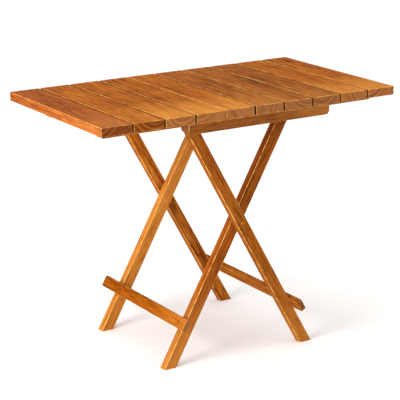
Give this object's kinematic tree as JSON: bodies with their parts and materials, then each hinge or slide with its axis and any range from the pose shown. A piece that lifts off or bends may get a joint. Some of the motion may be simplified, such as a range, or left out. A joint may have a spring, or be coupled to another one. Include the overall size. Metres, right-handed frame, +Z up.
{
  "type": "folding table",
  "caption": "Rectangular slatted teak table top on crossed leg frames joined by flat stretchers; the legs scissor flat up under the top.",
  "frame": {"origin": "on the floor under the middle of the table top", "axes": "+Z up, +X along the long side of the top, +Y across it to the back"},
  "size_m": [0.905, 0.51, 0.7],
  "materials": {
    "slat_teak": "oiled teak, fine straight grain, each board its own tone",
    "rail_teak": "oiled teak",
    "leg_teak": "oiled teak, golden brown with darker grain lines",
    "bung_teak": "oiled teak end plugs, pared flush",
    "stainless": "satin stainless steel",
    "brass": "turned brass"
  },
  "bodies": {
    "tabletop": {"batten_back": "rail_teak", "batten_front": "rail_teak", "batten_screws": "stainless", "hinge_bolts": "stainless", "hinge_bungs": "bung_teak", "hinge_nuts": "stainless", "hinge_washers": "stainless", "rail_screws": "stainless", "slat_01": "slat_teak", "slat_02": "slat_teak", "slat_03": "slat_teak", "slat_04": "slat_teak", "slat_05": "slat_teak", "slat_06": "slat_teak", "slat_07": "slat_teak", "slat_08": "slat_teak", "slat_09": "slat_teak", "slat_10": "slat_teak", "slide_rail_back": "rail_teak", "slide_rail_front": "rail_teak"},
    "outer_frame": {"outer_leg_back": "leg_teak", "outer_leg_front": "leg_teak", "outer_stretcher": "leg_teak", "outer_stretcher_bungs": "bung_teak", "outer_stretcher_screws": "stainless", "pivot_bungs": "bung_teak"},
    "inner_frame": {"inner_leg_back": "leg_teak", "inner_leg_front": "leg_teak", "inner_stretcher": "leg_teak", "inner_stretcher_bungs": "bung_teak", "inner_stretcher_screws": "stainless", "pivot_bolts": "stainless", "pivot_inserts": "brass", "pivot_spacers": "stainless", "pivot_washers": "stainless", "slide_pins": "stainless"}
  },
  "joints": [
    {"name": "leg_fold", "type": "hinge", "parent": "tabletop", "child": "outer_frame", "pos_m": [-0.17109, 0, 0.6585], "axis": [0, -1, 0], "range_deg": [0, 55.2]},
    {"name": "leg_crossing", "type": "hinge", "parent": "outer_frame", "child": "inner_frame", "pos_m": [-0.012, 0, 0.375], "axis": [0, 1, 0], "range_deg": [0, 110.4]}
  ],
  "couplings": [
    {"joint": "leg_crossing", "follows": "leg_fold", "ratio": 2}
  ]
}
